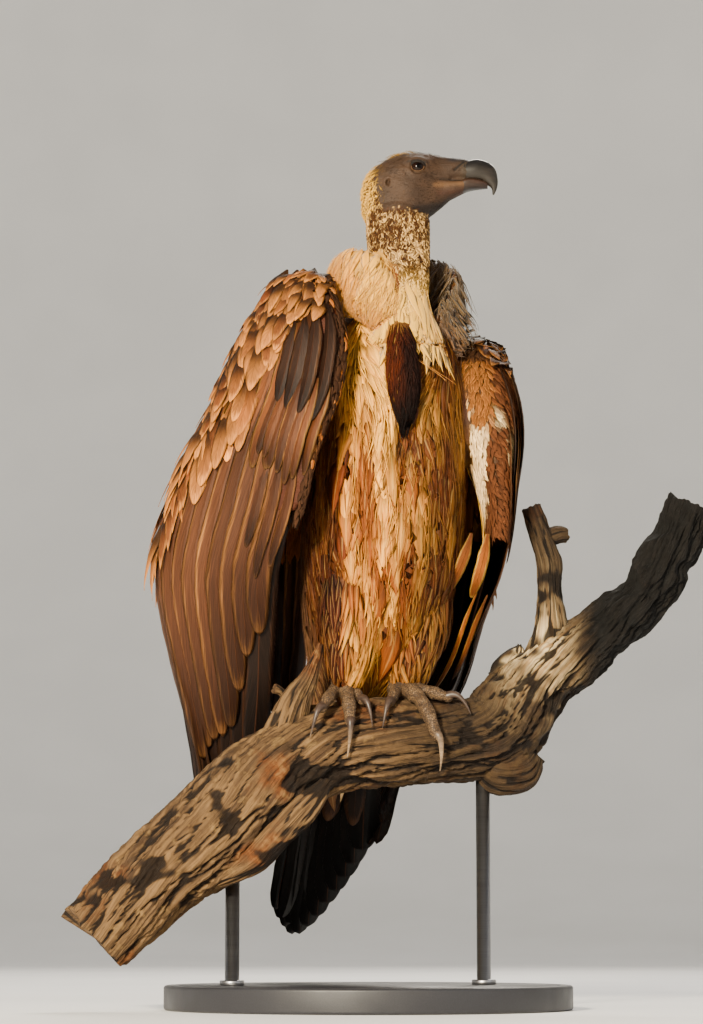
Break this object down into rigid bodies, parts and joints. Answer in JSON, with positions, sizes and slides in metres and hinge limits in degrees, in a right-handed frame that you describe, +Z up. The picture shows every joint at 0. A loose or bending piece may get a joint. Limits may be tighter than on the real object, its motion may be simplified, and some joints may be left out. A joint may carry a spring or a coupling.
{
  "type": "white-backed vulture",
  "caption": "Life-size still model of a white-backed vulture gripping a cut length of dead branch, held above a round display base by upright rods.",
  "frame": {"origin": "centre of the stand base's underside, on the floor", "axes": "+Z up; -Y is the side the bird's breast mostly faces and it is seen from; +X is the way its bill points"},
  "size_m": [0.6444, 0.4, 0.8497],
  "materials": {
    "bare_skin": "dark grey-brown bare skin with sparse bristles",
    "horn": "blackish horn, semi-gloss",
    "down": "mottled cream and brown down",
    "ruff_down": "golden tan plume ruff",
    "crop_skin": "short dark chocolate-brown feathers",
    "gold_plumage": "golden tan lanceolate feathers with cream centres",
    "brown_plumage": "mid-brown coverts with pale buff edges",
    "flight_feather": "dark brown flight feathers",
    "scaled_skin": "brown-grey scaled skin",
    "eye": "very dark glossy eye",
    "dead_wood": "weathered grey-brown dead wood with deep cracks",
    "stand_paint": "satin charcoal paint",
    "rod_steel": "brushed steel rod"
  },
  "bodies": {
    "root": {"trunk": "gold_plumage", "crop": "crop_skin", "neck": "down", "ruff": "ruff_down", "mantle": "brown_plumage", "head": "bare_skin", "cere": "horn", "bill_upper": "horn", "bill_lower": "horn", "eye_left": "eye", "eye_right": "eye", "tail": "flight_feather", "perch": "dead_wood", "stand_base": "stand_paint", "stand_rod_left": "rod_steel", "stand_rod_right": "rod_steel", "thigh_right": "gold_plumage", "wing_right": "brown_plumage", "secondaries_right": "flight_feather", "primaries_right": "flight_feather", "leg_right": "scaled_skin", "claw_right_inner": "horn", "claw_right_middle": "horn", "claw_right_outer": "horn", "claw_right_hind": "horn", "thigh_left": "gold_plumage", "wing_left": "brown_plumage", "secondaries_left": "flight_feather", "primaries_left": "flight_feather", "leg_left": "scaled_skin", "claw_left_inner": "horn", "claw_left_middle": "horn", "claw_left_outer": "horn", "claw_left_hind": "horn"}
  },
  "joints": []
}
